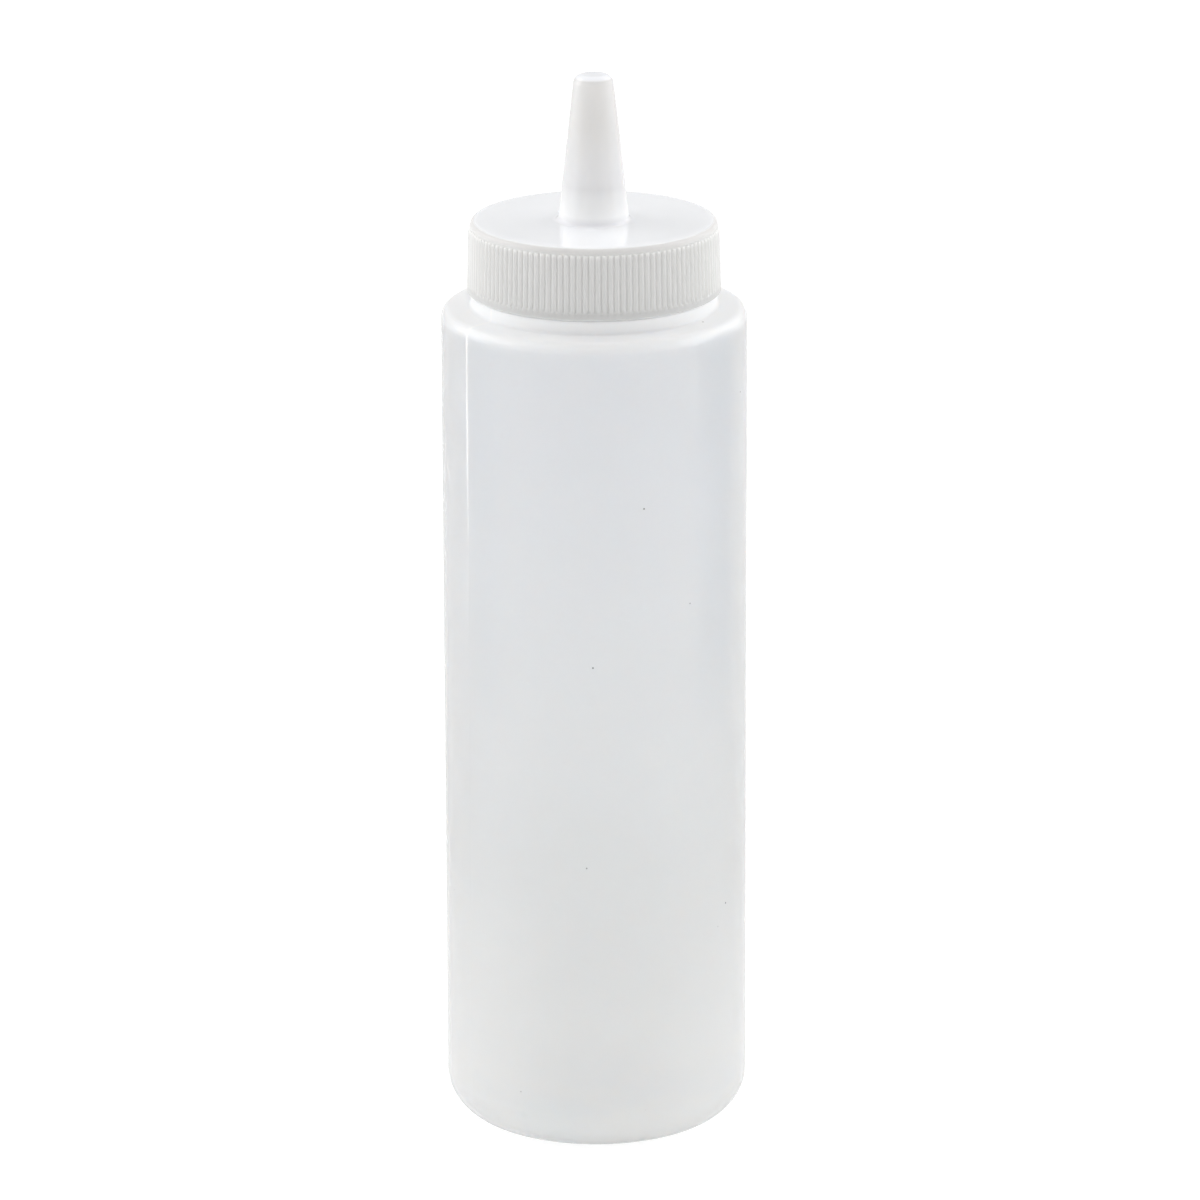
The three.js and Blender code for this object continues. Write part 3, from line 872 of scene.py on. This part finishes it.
class SAUCE_OT_screw_cap(bpy.types.Operator):
    """Models the screw cap: ribbed skirt, polished disc, cone nozzle, bore and inner thread"""

    bl_idname = "sauce.screw_cap"
    bl_label = "Screw cap"

    def execute(self, context):
        sizes = context.scene.cap_sizes
        disc, underside = sizes.disc_height, sizes.disc_height - sizes.disc_wall
        base, tip, fillet = sizes.nozzle_base, sizes.nozzle_tip, sizes.nozzle_fillet
        rounding, edge = sizes.nozzle_rounding, sizes.edge
        slope = math.atan2(base - tip, TIP_HEIGHT - disc)
        edge_start = (sizes.band_radius, disc - edge)
        upper = [
            *arc(sizes.band_radius - edge, disc - edge, edge, edge, 0, QUARTER, 10),
            *straight((sizes.band_radius - edge, disc), (base + fillet, disc), 6)[:-1],
            *arc(base + fillet, disc + fillet, fillet, fillet, -QUARTER, -2 * QUARTER + slope, 8),
            *arc(tip - rounding, TIP_HEIGHT - rounding, rounding, rounding, slope, QUARTER, 10),
            (0, TIP_HEIGHT),
        ]
        corner = 0.3 * MM
        bore = sizes.skirt_bore
        nozzle_bore_foot, nozzle_bore_tip = 4.3 * MM, 1.5 * MM
        nozzle_bore_end = TIP_HEIGHT - sizes.nozzle_tip_wall
        lower_start = (bore, CAP_FOOT_HEIGHT + 2 * corner)
        lower = [
            lower_start,
            *arc(bore - corner, underside - corner, corner, corner, 0, QUARTER, 4),
            (nozzle_bore_foot, underside),
            (nozzle_bore_tip, nozzle_bore_end),
            (0, nozzle_bore_end),
        ]
        cap, skirt_foot, skirt_top = ribbed_skirt(sizes)
        joined(cap, turned("cap_top", upper, CAP_COLUMNS), turned("cap_lining", lower, CAP_COLUMNS))
        bridged(cap, skirt_top, edge_start)
        bridged(cap, skirt_foot, lower_start)
        root_width, crest_width, turns, start_turn = 2.0 * MM, 0.9 * MM, 1.12, 0.375
        helix_foot = 141.6 * MM
        start = helix_foot + start_turn * THREAD_PITCH
        thread = (bore, sizes.thread_crest, root_width, crest_width, turns, start_turn, start)
        fused(cap, helical_ridge("cap_thread", *thread))
        material = injection_moulded_polyethylene(sizes, context.scene.finishes)
        finished(cap, "cap", "screw_cap", material, 40)
        return {"FINISHED"}


def white_surround(levels):
    """White for the camera and for what is seen through plastic. Dim in reflections. Else soft light.

    The soft light comes mostly from the lit backdrop and least from the dark side where the camera stands.
    """
    world = bpy.data.worlds.new("White surround")
    world.use_nodes = True
    tree = world.node_tree
    tree.nodes.clear()
    path = add_node(tree, "LightPath").node.outputs
    direction = add_node(tree, "TexCoord", output="Generated")
    depth = add_node(tree, "SeparateXYZ", [direction], output="Y")
    soft = add_node(tree, "MapRange", [depth, -1, 1, levels.front, levels.back])
    reflected = add_node(tree, "Mix", [path["Is Glossy Ray"], soft, levels.reflected])
    looks = [path["Is Camera Ray"], path["Is Transmission Ray"]]
    seen = add_node(tree, "Math", looks, operation="MAXIMUM")
    strength = add_node(tree, "Mix", [seen, reflected, 1])
    add_node(tree, "OutputWorld", [add_node(tree, "Background", [WHITE, strength])])
    return world


def white_paper(finishes, levels):
    """White paper, matte: it shows as the white backdrop does, with the bottle's soft shadow left on it.

    Reflections show it dimmer.
    """
    material, tree, place = new_material("White paper floor")
    # Fibres, drawn 2 mm across
    fibres = add_node(tree, "TexNoise", [place, per_metre(2), 4])
    tint = add_node(tree, "Mix", [fibres, finishes.floor[:], WHITE], **MIX)
    lit = [add_node(tree, "BsdfDiffuse", [tint]), add_node(tree, "Emission", [WHITE, levels.under])]
    path = add_node(tree, "LightPath").node.outputs
    looks = [path["Is Camera Ray"], path["Is Transmission Ray"]]
    direct = add_node(tree, "Math", looks, operation="MAXIMUM")
    seen = add_node(tree, "Math", [direct, path["Is Glossy Ray"]], operation="MAXIMUM")
    # What is seen is mostly its own glow, so that only a faint part of it can take the shadow
    faint = (0.2, 0.2, 0.2, 1)
    bright = add_node(tree, "MapRange", [direct, 0, 1, levels.paper_reflected, levels.paper_seen])
    glowing = [add_node(tree, "BsdfDiffuse", [faint]), add_node(tree, "Emission", [WHITE, bright])]
    kinds = [add_node(tree, "AddShader", lit), add_node(tree, "AddShader", glowing)]
    add_node(tree, "OutputMaterial", [add_node(tree, "MixShader", [seen, *kinds])])
    return material


def softbox(name, place, width, height, power, sheen):
    """A rectangular studio lamp that faces the bottle and doesn't show in the picture.

    The sheen makes it brighter or darker in reflections than the light that it gives.
    """
    bpy.ops.object.light_add(type="AREA", location=place)
    lamp = bpy.context.object
    lamp.name = name
    lamp.rotation_euler = (Vector(LIT_POINT) - Vector(place)).to_track_quat("-Z", "Y").to_euler()
    lamp.data.shape = "RECTANGLE"
    lamp.data.size, lamp.data.size_y = width, height
    lamp.data.energy = power
    lamp.data.use_nodes = True
    tree = lamp.data.node_tree
    tree.nodes.clear()
    glossy = add_node(tree, "LightPath", output="Is Glossy Ray")
    strength = add_node(tree, "MapRange", [glossy, 0, 1, 1, sheen])
    add_node(tree, "OutputLight", [add_node(tree, "Emission", [WHITE, strength])])
    lamp.visible_camera = False


def grey_card(finishes):
    """Blue-grey card, matte."""
    material, tree, place = new_material("Blue-grey card")
    # Its clouds are 3 mm across
    clouds = add_node(tree, "TexNoise", [place, per_metre(3)])
    tint = add_node(tree, "Mix", [clouds, finishes.card_dark[:], finishes.card_pale[:]], **MIX)
    surface = {"Base Color": tint, "Roughness": 0.9}
    add_node(tree, "OutputMaterial", [add_node(tree, "BsdfPrincipled", surface)])
    return material


def standing_card(name, place, width, material):
    """A card that stands beside the bottle and faces it, and that shows in reflections alone."""
    deselect_everything()
    turn = (Vector((0, 0, place[2])) - Vector(place)).to_track_quat("Z", "Y").to_euler()
    bpy.ops.mesh.primitive_plane_add(size=1, location=place, rotation=turn)
    card = bpy.context.object
    card.name = name
    card.scale = (width, 2 * place[2], 1)
    card.data.materials.append(material)
    for ray in ("camera", "diffuse", "transmission", "volume_scatter", "shadow"):
        setattr(card, f"visible_{ray}", False)


class SAUCE_OT_stage(bpy.types.Operator):
    """Sets up the white floor and surround, the softboxes, the grey cards and the camera"""

    bl_idname = "sauce.stage"
    bl_label = "Stage, lamps and camera"

    def execute(self, context):
        scene = context.scene
        levels = scene.stage_levels
        deselect_everything()
        bpy.ops.mesh.primitive_grid_add(x_subdivisions=8, y_subdivisions=8, size=FLOOR_WIDTH)
        floor = bpy.context.object
        floor.name = "paper_floor"
        floor.data.materials.append(white_paper(scene.finishes, levels))
        scene.world = white_surround(levels)
        for name, place, width, height, power in SOFTBOXES:
            sheen = levels.sheen if power == "rim" else 1
            softbox(name, place, width, height, getattr(levels, power), sheen)
        # Nothing reflects the lamp overhead
        bpy.data.objects["top_softbox"].visible_glossy = False
        card_material = grey_card(scene.finishes)
        for name, place, width in GREY_CARDS:
            standing_card(name, place, width, card_material)
        self.place_camera(scene)
        scene.view_settings.view_transform = "Standard"
        return {"FINISHED"}

    def place_camera(self, scene):
        """The photograph's long lens, a little above the bottle and looking down at it."""
        distance, height = 1.1815, 0.44996
        sensor, image_width, focal_pixels = 36.0, 1200, 7479.5
        pitch, yaw, roll = (math.radians(degrees) for degrees in (-16.998, -0.039, -0.192))
        bpy.ops.object.camera_add(location=(0, -distance, height))
        camera = bpy.context.object
        turn = Matrix.Rotation(yaw, 3, "Z") @ Matrix.Rotation(QUARTER + pitch, 3, "X")
        camera.rotation_euler = (turn @ Matrix.Rotation(roll, 3, "Z")).to_euler()
        camera.data.sensor_width = sensor
        camera.data.lens = sensor * focal_pixels / image_width
        scene.camera = camera


class SAUCE_PT_panel(bpy.types.Panel):
    """Lists the pieces and their sizes in the 3D view's sidebar"""

    bl_label = "Sauce Bottle"
    bl_idname = "SAUCE_PT_panel"
    bl_space_type = "VIEW_3D"
    bl_region_type = "UI"
    bl_category = "Sauce Bottle"

    def draw(self, context):
        for title, operators, group in (
            ("Bottle", ("sauce.bottle", "sauce.sealing_ring"), context.scene.bottle_sizes),
            ("Cap", ("sauce.screw_cap",), context.scene.cap_sizes),
            ("Colours", (), context.scene.finishes),
            ("Stage", ("sauce.stage",), context.scene.stage_levels),
        ):
            box = self.layout.box()
            box.label(text=title)
            for name in operators:
                box.operator(name)
            for key in group.__annotations__:
                box.prop(group, key)


GROUPS = {
    "bottle_sizes": BottleSizes,
    "cap_sizes": CapSizes,
    "finishes": Finishes,
    "stage_levels": StageLevels,
}
CLASSES = (
    *GROUPS.values(),
    SAUCE_OT_bottle,
    SAUCE_OT_sealing_ring,
    SAUCE_OT_screw_cap,
    SAUCE_OT_stage,
    SAUCE_PT_panel,
)


def register():
    """Makes the classes and the settings known to Blender."""
    for cls in CLASSES:
        bpy.utils.register_class(cls)
    for name, group in GROUPS.items():
        setattr(bpy.types.Scene, name, PointerProperty(type=group))


def unregister():
    """Takes them away again."""
    for name in GROUPS:
        delattr(bpy.types.Scene, name)
    for cls in reversed(CLASSES):
        bpy.utils.unregister_class(cls)


def main():
    """Builds every piece in order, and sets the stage."""
    register()
    bpy.ops.sauce.bottle()
    bpy.ops.sauce.sealing_ring()
    bpy.ops.sauce.screw_cap()
    bpy.ops.sauce.stage()


if __name__ == "__main__":
    main()
